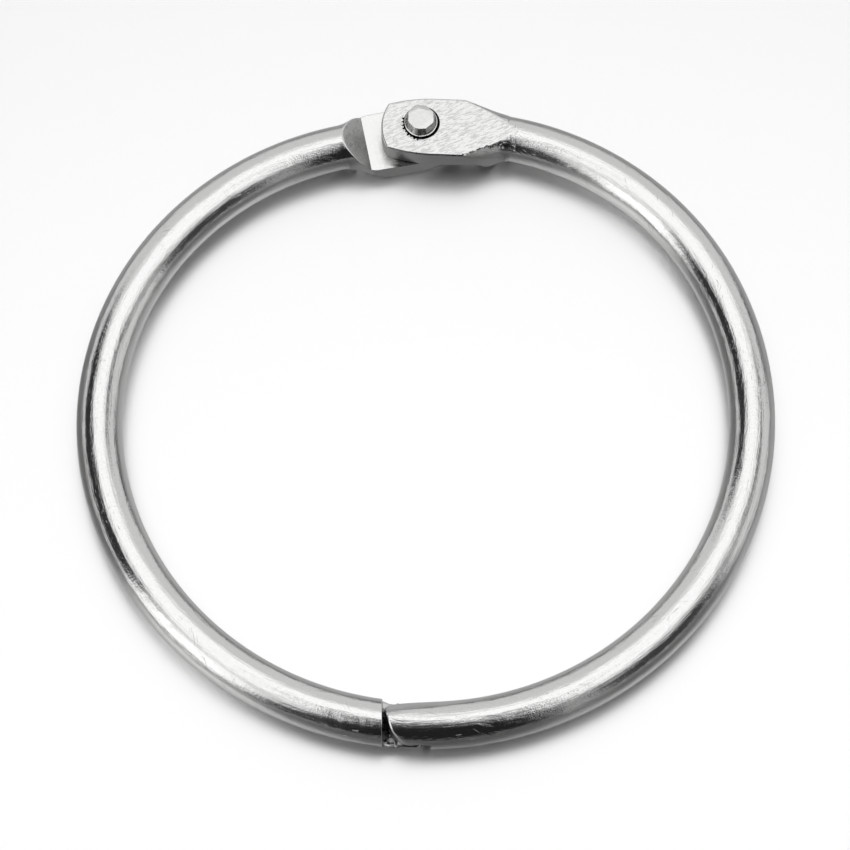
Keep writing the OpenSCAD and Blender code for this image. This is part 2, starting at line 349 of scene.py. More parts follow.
        # its lap face, with rolled lower edges, most beside the groove on the ring's outer side
        teeth = np.minimum(self.lap_height(x) - z, self.shoulder_x - x)
        drawn_in = ease((x - self.shoulder_x + 1.7) / 0.9) * ease((np.hypot(x, y) - RING_R) / 0.8 + 0.3)
        rolled = LAP_EDGE_R + (SHOULDER_EDGE_R - LAP_EDGE_R) * drawn_in
        low = ease((0.75 - z) / 0.5) * (x < self.shoulder_x)
        return round_max(metal, np.where(y < 0, teeth, NONE), EDGE_R + (rolled - EDGE_R) * low)


# ---- meshing a half ring: sections across the wire, cast out from inside the metal ----

AROUND = 176                  # points round a section
PROBE = 3.6                   # how far a section is searched for metal, either way
TURN_WEIGHT = 0.8             # how much a section's turns draw its points, against its length
INSIDE_Z = 0.5 * FACE_Z       # a height inside what is left of the pressed ends
CREASE = math.cos(math.radians(38))     # where own normals turn away further, faces stay flat


def graded(start, end, count, power=2.0):
    """Values from start to end, closer together near start."""
    return start + (end - start) * np.linspace(0, 1, count) ** power


def stations(half):
    """Where each section lies: x and y on the wire's middle, direction of travel, and height."""
    rows = []

    # the lug, in planes across its own axis, closest together at its end and at the ramp's foot
    full = -LUG_END + 0.75
    us = np.concatenate([
        graded(-LUG_END + 1e-4, full, 34), np.arange(full + 0.08, RAMP_FOOT - 0.1, 0.16),
        RAMP_FOOT + np.array([-0.06, -0.03, -0.01, 0.0, 0.01, 0.03, 0.06]),
        np.arange(RAMP_FOOT + 0.12, SPREAD_FROM, 0.08)])
    for u in us:
        o = half.lug_o + u * np.array([math.cos(half.lean), math.sin(half.lean)])
        rows.append((o[0], o[1], half.lean, INSIDE_Z))

    # the wire, from the tighter bend to the main arc: coarser away from the lug, and turning by and by
    # from across the lug to across the wire, and from that to across the tongue
    tongue_from = half.shoulder_x + 3.5
    x_join = half.lug_o[0] + SPREAD_FROM * math.cos(half.lean)
    a0 = math.acos((x_join - half.bend_c[0]) / half.bend_r)
    a1 = -math.acos(tongue_from / RING_R)
    fine, coarse, fine_over = math.radians(0.22), math.radians(1.2), math.radians(8)
    turn_after, turn_in, turn_out = math.radians(5), math.radians(16), math.radians(14)
    lift_in, lift_out = math.radians(6), math.radians(4)
    angles = [a0]
    while angles[-1] > a1:
        away = min((a0 - angles[-1]) / fine_over, 1)
        angles.append(angles[-1] - fine - (coarse - fine) * away)
    for a in angles[:-1]:
        on_bend = a > half.bend_from
        c = half.bend_c if on_bend else np.zeros(2)
        r = half.bend_r if on_bend else RING_R
        travel = a - math.pi / 2
        after = ease((a0 - turn_after - a) / turn_in)
        before = ease((a - a1) / turn_out)
        direction = half.lean + (travel - half.lean) * after
        direction = -math.pi + (direction + math.pi) * before
        lift = INSIDE_Z * (1 - ease((a0 - a) / lift_in))
        lift += INSIDE_Z * (1 - ease((a - a1) / lift_out))
        rows.append((c[0] + r * math.cos(a), c[1] + r * math.sin(a), direction, lift))

    # the tongue, in planes across X, closest together at the shoulder, tooth, groove and nose
    wall = half.shoulder_x
    corner = wall + EDGE_R * np.array([1.0, 0.7, 0.45, 0.25, 0.1, 0.02])
    lap = set(np.round(np.arange(half.nose_x + 1.25, wall - 0.05, 0.09), 4))
    lap |= {round(half.mid_x + k + d, 4) for k in LAP_KNOTS for d in (-0.02, 0.0, 0.02)}
    xs = np.concatenate([
        np.arange(tongue_from, wall + 0.25, -0.3), wall + 0.25 - np.arange(0, 0.16, 0.05), corner,
        [wall - 1e-3], sorted((x for x in lap if half.nose_x + 1.2 < x < wall - 0.01), reverse=True),
        graded(half.nose_x + 2e-4, half.nose_x + 1.19, 44)[::-1]])
    for x in xs:
        rows.append((x, side_y(x, RING_R), -math.pi, INSIDE_Z))
    return np.array(rows)


def cast(distance, origin, ray, reach):
    """Where each ray, starting inside the metal, meets its surface."""
    near = np.zeros(ray.shape[:-1])
    far = np.full(ray.shape[:-1], reach)
    for _ in range(26):
        middle = (near + far) / 2
        outside = distance(origin + ray * middle[..., None]) > 0
        far = np.where(outside, middle, far)
        near = np.where(outside, near, middle)
    return origin + ray * near[..., None]


def cast_round(half, origin, across, angle):
    """The surface round a section, at each angle from its across direction."""
    up = np.array([0.0, 0.0, 1.0])
    ray = np.cos(angle)[..., None] * across[:, None] + np.sin(angle)[..., None] * up
    return cast(half.distance, origin[:, None], ray, 2.2 * WIRE_R)


def sections(half):
    """Points round each section, their angles, and the sections' middles."""
    rows = stations(half)
    travel = rows[:, 2]
    across = np.stack([-np.sin(travel), np.cos(travel), np.zeros(len(rows))], -1)
    origin = np.stack([rows[:, 0], rows[:, 1], rows[:, 3]], -1)

    # each section is cast from the middle of its own width
    offsets = np.linspace(-PROBE, PROBE, 289)
    probe = origin[:, None] + offsets[None, :, None] * across[:, None]
    inside = half.distance(probe) < 0
    weight = inside / np.maximum(inside.sum(1, keepdims=True), 1)
    shift = (weight * offsets).sum(1)
    kept = inside.any(1)
    origin = (origin + shift[:, None] * across)[kept]
    across = across[kept]

    # its points are shared out by length and by turning, which draws them to its corners, and evened
    # out from section to section
    dense = 360
    angle = np.linspace(0, 2 * math.pi, dense, endpoint=False) - math.pi / 2
    angle = np.broadcast_to(angle, (len(origin), dense))
    ring = cast_round(half, origin, across, angle)
    step = np.roll(ring, -1, 1) - ring
    length = np.linalg.norm(step, axis=-1)
    unit = step / np.maximum(length, 1e-9)[..., None]
    turn = np.arccos(np.clip((unit * np.roll(unit, 1, 1)).sum(-1), -1, 1))
    share = length / length.sum(1, keepdims=True)
    share = share + TURN_WEIGHT * turn / np.maximum(turn.sum(1, keepdims=True), 1e-9)
    share /= share.sum(1, keepdims=True)
    kernel = np.array([1, 2, 3, 2, 1]) / 9
    padded = np.pad(share, ((2, 2), (0, 0)), mode="edge")
    share = sum(k * padded[i:i + len(share)] for i, k in enumerate(kernel))
    total = np.concatenate([np.zeros((len(share), 1)), np.cumsum(share, 1)], 1)
    wanted = np.linspace(0, 1, AROUND, endpoint=False)
    full = np.linspace(0, 2 * math.pi, dense + 1) - math.pi / 2
    angle = np.stack([np.interp(wanted, row / row[-1], full) for row in total])
    return cast_round(half, origin, across, angle), angle, origin[:, :2]


def read(items, key, width=1, kind=float):
    """A value, or a row of width values, for each of a mesh's items."""
    values = np.empty(len(items) * width, kind)
    items.foreach_get(key, values)
    return values.reshape(-1, width) if width > 1 else values


def shade(mesh, normal_at):
    """Gives each corner the surface's own normal, unless its face turns away from it."""
    vert = read(mesh.loops, "vertex_index", kind=np.int32)
    sizes = read(mesh.polygons, "loop_total", kind=np.int32)
    face_n = np.repeat(read(mesh.polygons, "normal", 3), sizes, 0)
    own = normal_at(read(mesh.vertices, "co", 3), vert, face_n)
    fits = (own * face_n).sum(-1) > CREASE
    final = np.where(fits[:, None], own, face_n)
    mesh.polygons.foreach_set("use_smooth", np.ones(len(mesh.polygons), bool))
    mesh.normals_split_custom_set(final.astype(np.float32))


def revolve_normals(co, vert, face_n, centre):
    """Round about an upright axis, with each face's own slope."""
    flat = co[vert][:, :2] - centre
    flat /= np.maximum(np.linalg.norm(flat, axis=-1, keepdims=True), 1e-12)
    level = np.hypot(face_n[:, 0], face_n[:, 1])
    sign = np.sign((flat * face_n[:, :2]).sum(-1))
    return np.concatenate([flat * (level * sign)[:, None], face_n[:, 2:]], -1)


def solid(name, verts, faces):
    """A new object in the scene."""
    mesh = bpy.data.meshes.new(name)
    mesh.from_pydata([tuple(v) for v in verts], [], faces)
    mesh.validate()
    obj = bpy.data.objects.new(name, mesh)
    bpy.context.scene.collection.objects.link(obj)
    return obj


def turned_faces(rings, count):
    """Faces between rings of count points, from the bottom up, after a bottom point and a top point."""
    faces = []
    last = 2 + (rings - 1) * count
    for j in range(count):
        k = (j + 1) % count
        faces.append((0, 2 + k, 2 + j))
        faces.append((1, last + j, last + k))
        for i in range(rings - 1):
            a, b = 2 + i * count, 2 + (i + 1) * count
            faces.append((a + j, a + k, b + k, b + j))
    return faces


def nick(turn):
    """How far the countersink's mouth is nicked outwards, from 0 to 1."""
    start, end = NICKED
    comb = max(math.sin(31 * turn) + 0.5 * math.sin(13 * turn + 1), 0)
    return min(comb, 1) * (start < turn < end)


def lathe(name, profile, centre, count, nicks):
    """A closed solid turned about the Z axis. Its profile, of (radius, height), ends on the axis.

    nicks says how far out the nicks reach at each point of the profile.
    """
    ring = np.linspace(0, 2 * math.pi, count, endpoint=False)
    verts = [(centre[0], centre[1], profile[0][1]), (centre[0], centre[1], profile[-1][1])]
    for (r, z), reach in list(zip(profile, nicks))[1:-1]:
        for a in ring:
            out = r + reach * nick(a)
            verts.append((centre[0] + out * math.cos(a), centre[1] + out * math.sin(a), z))
    return solid(name, verts, turned_faces(len(profile) - 2, count))


def to_world(side, p):
    """From the half ring as stamped, in millimetres, to its place in the scene, in metres."""
    return np.stack([side * p[..., 0], p[..., 1], MID_Z + side * p[..., 2]], -1) * MM


def to_stamped(side, p):
    """The way back."""
    return (p / MM - np.array([0, 0, MID_Z])) * np.array([side, 1, side])


def unwrap(mesh, angle, middle):
    """Maps a half ring's surface, along the wire and round it, in millimetres."""
    count, around = angle.shape
    along = np.concatenate([[0], np.cumsum(np.linalg.norm(np.diff(middle, axis=0), axis=-1))])
    vert = read(mesh.loops, "vertex_index", kind=np.int32)
    sizes = read(mesh.polygons, "loop_total", kind=np.int32)
    row, column = np.divmod(np.minimum(vert, count * around - 1), around)

    # in a face that closes the round, the first column's points lie a whole turn on
    furthest = np.maximum.reduceat(column, np.concatenate([[0], np.cumsum(sizes)[:-1]]))
    wrapped = (np.repeat(furthest, sizes) == around - 1) & (column == 0)
    turn = angle[row, column] + 2 * math.pi * wrapped
    layer = mesh.uv_layers.new(name="wire")
    layer.data.foreach_set("uv", np.stack([along[row], turn * WIRE_R], -1).astype(np.float32).ravel())


def half_ring(name, half, side):
    """side is 1 for the half that lies as stamped, and -1 for the one turned over."""
    rings, angle, middle = sections(half)
    count, around = angle.shape
    verts = np.concatenate([rings.reshape(-1, 3), rings[:1].mean(1), rings[-1:].mean(1)])
    i = np.arange(count - 1)[:, None] * around
    j = np.arange(around)[None, :]
    k = (j + 1) % around
    quads = np.stack([i + j, i + k, i + around + k, i + around + j], -1).reshape(-1, 4)
    first_cap, last_cap, last = count * around, count * around + 1, (count - 1) * around
    caps = [((j0 + 1) % around, j0, first_cap) for j0 in range(around)]
    caps += [(last + j0, last + (j0 + 1) % around, last_cap) for j0 in range(around)]
    obj = solid(name, to_world(side, verts), quads.tolist() + caps)
    unwrap(obj.data, angle, middle)
    bore(obj, half, side)
    centre = to_world(side, np.array([*half.rivet, 0.0]))[:2]

    def normal_at(co, vert, face_n):
        own = gradient(half.distance, to_stamped(side, co))[vert] * np.array([side, 1, side])
        in_bore = np.hypot(*(co[vert][:, :2] - centre).T) < (SINK_R + 0.2) * MM
        turned = revolve_normals(co, vert, face_n, centre)
        steep = (own * face_n).sum(-1) < 0.9
        return np.where((in_bore & steep)[:, None], turned, own)

    shade(obj.data, normal_at)
    return obj


def bore(obj, half, side):
    """Cuts the hole and its countersink, with a softened mouth, which is nicked on the front half."""
    lip, beyond = SINK_LIP, WIRE_R
    slip = np.array(SINK_SLIP) if side > 0 else np.zeros(2)
    bore_r, sink_r = BORE_R + np.hypot(*slip), SINK_R + np.hypot(*slip)
    slope = (sink_r - bore_r) / SINK_DEPTH
    front, back = FACE_Z, -FACE_Z - beyond
    profile = [(0, back), (bore_r, back), (bore_r, front - SINK_DEPTH),
               (sink_r - slope * lip, front - lip), (sink_r + 0.3 * lip, front - 0.3 * lip),
               (sink_r + lip, front), (sink_r + 4 * lip, front + beyond), (0, front + beyond)]
    heights = [(r * MM, (MID_Z + side * z) * MM) for r, z in profile]
    if side < 0:
        heights = heights[::-1]
    centre = to_world(side, np.array([*(half.rivet + slip), 0.0]))[:2]
    reach = NICK * MM if side > 0 else 0
    cutter = lathe("bore_cutter", heights, centre, 320, [0, 0, 0, reach, reach, reach, reach, 0])
    cut = obj.modifiers.new("bore", "BOOLEAN")
    cut.operation = "DIFFERENCE"
    cut.solver = "EXACT"
    cut.object = cutter
    graph = bpy.context.evaluated_depsgraph_get()
    mesh = bpy.data.meshes.new_from_object(obj.evaluated_get(graph))
    obj.modifiers.clear()
    old, obj.data = obj.data, mesh
    bpy.data.meshes.remove(old)
    bpy.data.objects.remove(cutter)


# a face's finish: its material's place in the mesh's list
WIRE, COINED, SHADED_WALL, LAP, TORN_AND_SHADED = range(5)


def finish_faces(mesh, half, side, metals):
    """Each face takes the finish of the tool that made it; upright walls, the bore and the groove take
    darker finishes that are painted shade.
    """
    facing = side * read(mesh.polygons, "normal", 3)[:, 2]
    x, y, z = to_stamped(side, read(mesh.polygons, "center", 3)).T
    u, v = half.lug_axes(x, y)
    off_wire = half.wire(x, y, z)          # below zero where the wire has been pressed or cut
    from_rivet = np.hypot(x - half.rivet[0], y - half.rivet[1])
    from_middle = np.hypot(x, y)

    on_lug = (y > 0) & (u < COIN_FROM)
    lapped = on_lug & (facing < -0.3) & (np.abs(half.lug_cuts(u, v, z)[0]) < 0.02)
    coined = on_lug & (facing > 0.97) & (z > 0.9 * FACE_Z)
    lug_wall = on_lug & ((u < RAMP_FOOT + 1) | ((u < SPREAD_FROM) & (np.abs(off_wire) > 0.05)))
    tongue_wall = (y < 0) & (x < half.clear_x) & (off_wire < -0.04)
    # upright walls take the darker finish, whose grey is painted shade
    shaded_walls = (np.abs(facing) < 0.3) & (lug_wall | tongue_wall)
    # the walls of the bore and the countersink take the dark torn finish as painted shade
    pits_and_shaded_bore = (from_rivet < SINK_R + 0.2) & (np.abs(facing) < 0.9)
    for to_pit, radius in half.to_tears(u, v, z):
        pits_and_shaded_bore |= (y > 0) & (to_pit < radius + 0.02)
    on_tongue = (y < 0) & (x < half.shoulder_x - 0.01) & (facing < -0.3) & (np.abs(z) < 0.6)
    # the groove beside the shoulder takes the dark torn finish as painted shade
    groove_shade = (y < 0) & (x > half.mid_x + TOOTH_X - TOOTH_GAP) & (x < half.shoulder_x + 0.01)
    groove_shade &= (facing < 0.3) & (z < 0.6) & (off_wire < -0.04)
    groove_shade &= (from_middle > RING_R - 1.15) & (from_middle < RING_R + 1.6)

    kind = np.full(len(facing), WIRE, np.int32)
    for where, finish in ((lapped, LAP), (coined, COINED), (shaded_walls, SHADED_WALL), (pits_and_shaded_bore, TORN_AND_SHADED),
                          (on_tongue, LAP), (groove_shade, TORN_AND_SHADED)):
        kind[where] = finish
    mesh.materials.clear()
    for material in metals:
        mesh.materials.append(material)
    mesh.polygons.foreach_set("material_index", kind)


# ---- the rivet ----

def rivet_distance(p):
    """The rivet about its own axis, with z = 0 on the front lug's face."""
    r, z = np.hypot(p[..., 0], p[..., 1]), p[..., 2]
    slope = (SINK_R - BORE_R) / SINK_DEPTH
    steep = math.hypot(1, slope)
    shank = np.maximum(r - SHANK_R, z - 0.5 * RIM_H)
    neck = (r - RIM_R - slope * z) / steep
    rear = (r - SINK_R + slope * (z - RIVET_BACK)) / steep
    body = np.minimum(shank, np.maximum(rear, z - RIVET_BACK - SINK_DEPTH))
    body = np.minimum(body, np.maximum(np.maximum(neck, -SINK_DEPTH - z), z - 0.5 * RIM_H))
    body = round_max(body, RIVET_BACK - z, RIVET_EDGE_R)

    cone_run = RIM_R - TOP_R
    cone_rise = HEAD_H - RIM_H
    slant = math.hypot(cone_run, cone_rise)
    cone = ((r - RIM_R) * cone_rise + (z - RIM_H) * cone_run) / slant
    head = round_max(r - RIM_R, cone, RIM_EDGE_R, cone_rise / slant)

    def struck(head, turn, level, rise, reach):
        """The head with one more flat, whose normal has these level and upright shares."""
        n = (math.cos(turn) * level, math.sin(turn) * level, rise)
        return round_max(head, n[0] * p[..., 0] + n[1] * p[..., 1] + n[2] * z - reach, FACET_EDGE_R)

    middle_r, middle_z = (RIM_R + TOP_R) / 2, (RIM_H + HEAD_H) / 2
    for k in range(FACETS):
        # each blow of the punch left its own flat, a little apart from an even turn
        turn = 2 * math.pi * (k + 0.12 * math.sin(2.3 * k + 0.4)) / FACETS
        tilt = math.atan2(cone_run, cone_rise) + math.radians(4 * math.sin(1.7 * k + 0.6))
        reach = middle_r * math.cos(tilt) + middle_z * math.sin(tilt)
        cut = FACET_CUT * (1 + 0.4 * math.sin(3.1 * k))
        head = struck(head, turn, math.cos(tilt), math.sin(tilt), reach - cut)
    head = round_max(head, z - HEAD_H, RIVET_EDGE_R)
    for turn, lean, high in TOP_FLATS:
        lean = math.radians(lean)
        reach = 0.72 * TOP_R * math.sin(lean) + HEAD_H * math.cos(lean)
        head = struck(head, turn, math.sin(lean), math.cos(lean), reach * high)
    head = np.maximum(head, -0.2 * RIM_H - z)
    return np.minimum(body, head)


def rivet(name, around=168):
    """Cast out from its axis: round the staked end, along the shank and the neck, and over the head."""
    low = RIVET_BACK + 0.3
    # rows of rays: the height on the axis that each starts from, and how far it points up
    rows = [(low, phi) for phi in np.radians(graded(-90, -4, 16, 0.6))]
    rows += [(z, 0.0) for z in np.concatenate([
        low + np.arange(0, 0.4, 0.05), np.linspace(RIVET_BACK + 0.75, -SINK_DEPTH - 0.1, 12),
        np.linspace(-SINK_DEPTH, -0.05, 10)])]
    rows += [(0.0, phi) for phi in np.radians(np.linspace(0, 90, 70))]
    theta = np.linspace(0, 2 * math.pi, around, endpoint=False)
    z0, phi = np.array(rows[1:-1]).T[..., None]
    level, rise = np.cos(phi), np.sin(phi)
    ray = np.stack([level * np.cos(theta), level * np.sin(theta), rise + 0 * theta], -1)
    origin = np.stack([0 * (z0 + theta), 0 * (z0 + theta), z0 + 0 * theta], -1)
    rings = cast(rivet_distance, origin, ray, 2 * SINK_R)
    top = cast(rivet_distance, np.zeros((1, 3)), np.array([[0.0, 0.0, 1.0]]), 2 * HEAD_H)
    shift = np.array([HINGE_X, HINGE_Y, MID_Z + FACE_Z])
    verts = (np.concatenate([[[0.0, 0.0, RIVET_BACK]], top, rings.reshape(-1, 3)]) + shift) * MM
    obj = solid(name, verts, turned_faces(len(rings), around))

    def normal_at(co, vert, _):
        return gradient(rivet_distance, co / MM - shift)[vert]

    shade(obj.data, normal_at)
    return obj


# ---- finishes ----
# noise scales are per metre on object coordinates, and per millimetre on the wire's own map

class Nodes:
    """Builds a material's node tree one named step at a time."""

    def __init__(self, name):
        self.material = bpy.data.materials.new(name)
        self.material.use_nodes = True
        self.tree = self.material.node_tree
        self.shader = self.tree.nodes["Principled BSDF"]

    def add(self, kind, **settings):
        """A new node, with its properties set."""
        node = self.tree.nodes.new(kind)
        for key, value in settings.items():
            setattr(node, key, value)
        return node

    def link(self, source, target):
        self.tree.links.new(source, target)

    def math(self, operation, a, b=0.0, clamp=False):
        """Each of a and b is a number or another node's output."""
        node = self.add("ShaderNodeMath", operation=operation, use_clamp=clamp)
        for socket, value in zip(node.inputs, (a, b)):
            if isinstance(value, (int, float)):
                socket.default_value = value
            else:
                self.link(value, socket)
        return node.outputs[0]

    def span(self, value, low, high, to_low=0.0, to_high=1.0):
        """A smooth step from to_low to to_high as the value goes from low to high."""
        node = self.add("ShaderNodeMapRange", interpolation_type="SMOOTHSTEP")
        self.link(value, node.inputs["Value"])
        for key, number in (("From Min", low), ("From Max", high),
                            ("To Min", to_low), ("To Max", to_high)):
            node.inputs[key].default_value = number
        return node.outputs["Result"]

    def place(self, source, scale, turn=(0, 0, 0)):
        """The source turned, then scaled."""
        node = self.add("ShaderNodeMapping", vector_type="TEXTURE")
        self.link(source, node.inputs["Vector"])
        node.inputs["Scale"].default_value = [1 / s for s in scale]
        node.inputs["Rotation"].default_value = turn
        return node.outputs["Vector"]

    def noise(self, vector, scale, detail=2.0, roughness=0.5, distortion=0.0):
        node = self.add("ShaderNodeTexNoise")
        self.link(vector, node.inputs["Vector"])
        for key, number in (("Scale", scale), ("Detail", detail), ("Roughness", roughness),
                            ("Distortion", distortion)):
            node.inputs[key].default_value = number
        return node.outputs["Fac"]

    def distance(self, source, point):
        node = self.add("ShaderNodeVectorMath", operation="DISTANCE")
        self.link(source, node.inputs[0])
        node.inputs[1].default_value = point
        return node.outputs["Value"]

    def bump(self, height, distance):
        """Height is in units of distance, which is in metres."""
        node = self.add("ShaderNodeBump")
        self.link(height, node.inputs["Height"])
        node.inputs["Distance"].default_value = distance
        self.link(node.outputs["Normal"], self.shader.inputs["Normal"])

    def grey(self, value, low, high):
        """Base colour from a value between 0 and 1, as a neutral grey."""
        node = self.add("ShaderNodeMix", data_type="RGBA")
        self.link(value, node.inputs["Factor"])
        node.inputs[6].default_value = (low, low, low * 0.99, 1)
        node.inputs[7].default_value = (high, high, high * 0.99, 1)
        self.link(node.outputs[2], self.shader.inputs["Base Color"])


def metal(name):
    """Nickel, which doesn't turn white at its edges."""
    n = Nodes(name)
    n.shader.inputs["Metallic"].default_value = 1.0
    n.shader.inputs["Specular Tint"].default_value = (0.55, 0.55, 0.55, 1)
    return n


def wire_plating():
    """Bright nickel on drawn wire: grain, streaks along the wire, cross brushing and a few scuffs."""
    n = metal("plated_wire")
    uv = n.add("ShaderNodeUVMap", uv_map="wire").outputs["UV"]
    obj = n.add("ShaderNodeTexCoord").outputs["Object"]
    long_streak = n.noise(n.place(uv, (0.13, 2.2, 1)), 1.0, 3.0, 0.6, 0.3)
    streak = n.noise(n.place(uv, (1.3, 6.0, 1)), 1.0, 2.0, 0.6)
    grain = n.noise(obj, 7500.0, 2.0, 0.7)
    ripple = n.noise(n.place(uv, (0.35, 0.7, 1)), 1.0, 2.0, 0.5)
    cross = n.noise(n.place(uv, (3.5, 0.5, 1), (0, 0, 0.5)), 1.0, 3.0, 0.6)
    patch = n.span(n.noise(n.place(uv, (0.07, 0.2, 1)), 1.0, 1.0), 0.56, 0.66)
    height = n.math("MULTIPLY", long_streak, 1.3)
    height = n.math("ADD", height, n.math("MULTIPLY", streak, 0.5))
    height = n.math("ADD", height, n.math("MULTIPLY", grain, 0.5))
    height = n.math("ADD", height, n.math("MULTIPLY", ripple, 2.0))
    height = n.math("ADD", height, n.math("MULTIPLY", n.math("MULTIPLY", cross, patch), 0.15))

    # scuffs: short dashes along the wire and slanting scratches, only in some places
    dash = n.span(n.noise(n.place(uv, (1.1, 9.0, 1)), 1.0, 1.0), 0.7, 0.78)
    scratch = n.span(n.noise(n.place(uv, (0.5, 12.0, 1), (0, 0, 0.7)), 1.0, 1.0), 0.72, 0.78)
    where = n.span(n.noise(n.place(uv, (0.16, 0.3, 1)), 1.0, 1.0), 0.5, 0.6)
    scuff = n.math("MULTIPLY", n.math("MAXIMUM", dash, scratch), where)
    height = n.math("SUBTRACT", height, n.math("MULTIPLY", scuff, 1.2))
    n.bump(height, 0.022 * MM)
    rough = n.span(streak, 0.3, 0.7, 0.05, 0.12)
    n.link(n.math("ADD", rough, n.math("MULTIPLY", scuff, 0.3)), n.shader.inputs["Roughness"])
    n.grey(grain, 0.6, 0.74)
    return n.material


def lug_finish():
    """Coined face: plating over fine slanting furrows, with smudges where the punch raised a burr."""
    n = metal("plated_lug_face")
    obj = n.add("ShaderNodeTexCoord").outputs["Object"]
    furrow = n.noise(n.place(obj, (1700, 6500, 1700), (0, 0, math.radians(24))), 1.0, 2.0, 0.55, 0.7)
    grain = n.noise(obj, 7000.0, 2.0, 0.6)
    height = n.math("ADD", n.span(furrow, 0.36, 0.56), n.math("MULTIPLY", grain, 0.4))
    n.bump(height, 0.007 * MM)
    n.link(n.span(furrow, 0.35, 0.6, 0.28, 0.22), n.shader.inputs["Roughness"])

    # the burr: blots in a band round the countersink, on its left and a little below
    face_z = (MID_Z + FACE_Z) * MM
    from_rivet = n.distance(obj, (HINGE_X * MM, HINGE_Y * MM, face_z))
    from_burr = n.distance(obj, ((HINGE_X - 1.25) * MM, (HINGE_Y - 0.55) * MM, face_z))
    band = n.span(from_rivet, 1.62 * MM, 1.8 * MM, 1.0, 0.0)
    side = n.span(from_burr, 0.9 * MM, 1.3 * MM, 1.0, 0.0)
    blots = n.span(n.noise(obj, 4500.0, 2.0, 0.6), 0.44, 0.54)
    burr = n.math("MULTIPLY", n.math("MULTIPLY", band, side), blots)
    tone = n.math("SUBTRACT", n.span(furrow, 0.3, 0.52), burr, clamp=True)
    n.grey(n.math("MULTIPLY", tone, n.math("SUBTRACT", 1.0, burr)), 0.5, 0.68)
    return n.material


def shaded_side_finish():
    """Sheared and squeezed walls of the lug and tongue: duller, with marks of the die across them, and
    a darker grey than the wire's that is painted shade on these upright faces.
    """
    n = metal("plated_side_painted_shade")
    obj = n.add("ShaderNodeTexCoord").outputs["Object"]
    drag = n.noise(n.place(obj, (3000, 3000, 400)), 1.0, 3.0, 0.6)
    n.bump(drag, 0.012 * MM)
    n.link(n.span(drag, 0.3, 0.7, 0.28, 0.4), n.shader.inputs["Roughness"])
    # painted shade: a darker grey than the wire's plating
    n.grey(drag, 0.36, 0.46)
    return n.material


def lap_finish():
    """Lap faces and ramps, left satin by the die, with a painted shadow in streaks under the end of the
    front lug.
    """
    n = metal("plated_lap")
    obj = n.add("ShaderNodeTexCoord").outputs["Object"]
    grain = n.noise(n.place(obj, (3500, 2200, 2200)), 1.0, 3.0, 0.6)
    n.bump(grain, 0.006 * MM)
    n.link(n.span(grain, 0.3, 0.7, 0.26, 0.34), n.shader.inputs["Roughness"])

    # painted shadow: low on the rear lug, under the end of the front one, in streaks along it
    place = n.add("ShaderNodeSeparateXYZ")
    n.link(obj, place.inputs[0])
    shadow_streaks = n.noise(n.place(obj, (450, 5200, 450)), 1.0, 2.0, 0.6)
    start = n.math("ADD", place.outputs[0], n.math("MULTIPLY", shadow_streaks, -1.3 * MM))
    under = n.math("MULTIPLY", n.span(start, (HINGE_X - 3.3) * MM, (HINGE_X - 2.4) * MM),
                   n.span(place.outputs[1], (HINGE_Y - 1.9) * MM, (HINGE_Y - 1.3) * MM, 1.0, 0.0))
    under_lug_shadow = n.math("MULTIPLY", under, n.span(shadow_streaks, 0.3, 0.6, 1.0, 0.8))
    unshadowed = n.math("SUBTRACT", 1.0, under_lug_shadow, clamp=True)
    n.grey(n.math("MULTIPLY", unshadowed, n.span(grain, 0.0, 1.0, 0.9, 1.0)), 0.06, 0.8)
    return n.material


def torn_and_shaded_finish():
    """Torn edges, where the plating is thin, and painted shade in the depth of the bore and in the
    groove.
    """
    n = metal("plated_torn_edge_and_shade")
    obj = n.add("ShaderNodeTexCoord").outputs["Object"]
    clots = n.noise(obj, 3800.0, 3.0, 0.65)
    n.bump(clots, 0.05 * MM)
    n.link(n.span(clots, 0.35, 0.65, 0.6, 0.25), n.shader.inputs["Roughness"])
    # near black: painted shade in the bore and the groove, and torn plating at the pits
    n.grey(n.span(clots, 0.42, 0.6), 0.05, 0.45)
    return n.material


def rivet_finish():
    """Hammered nickel: broad dents under a fine grain."""
    n = metal("plated_rivet")
    obj = n.add("ShaderNodeTexCoord").outputs["Object"]
    dents = n.noise(obj, 1700.0, 2.0, 0.5)
    grain = n.noise(obj, 6000.0, 2.0, 0.6)
    n.bump(n.math("ADD", dents, n.math("MULTIPLY", grain, 0.3)), 0.015 * MM)
    n.link(n.span(dents, 0.35, 0.65, 0.14, 0.26), n.shader.inputs["Roughness"])
    n.grey(dents, 0.55, 0.68)
    return n.material


# ---- the studio ----

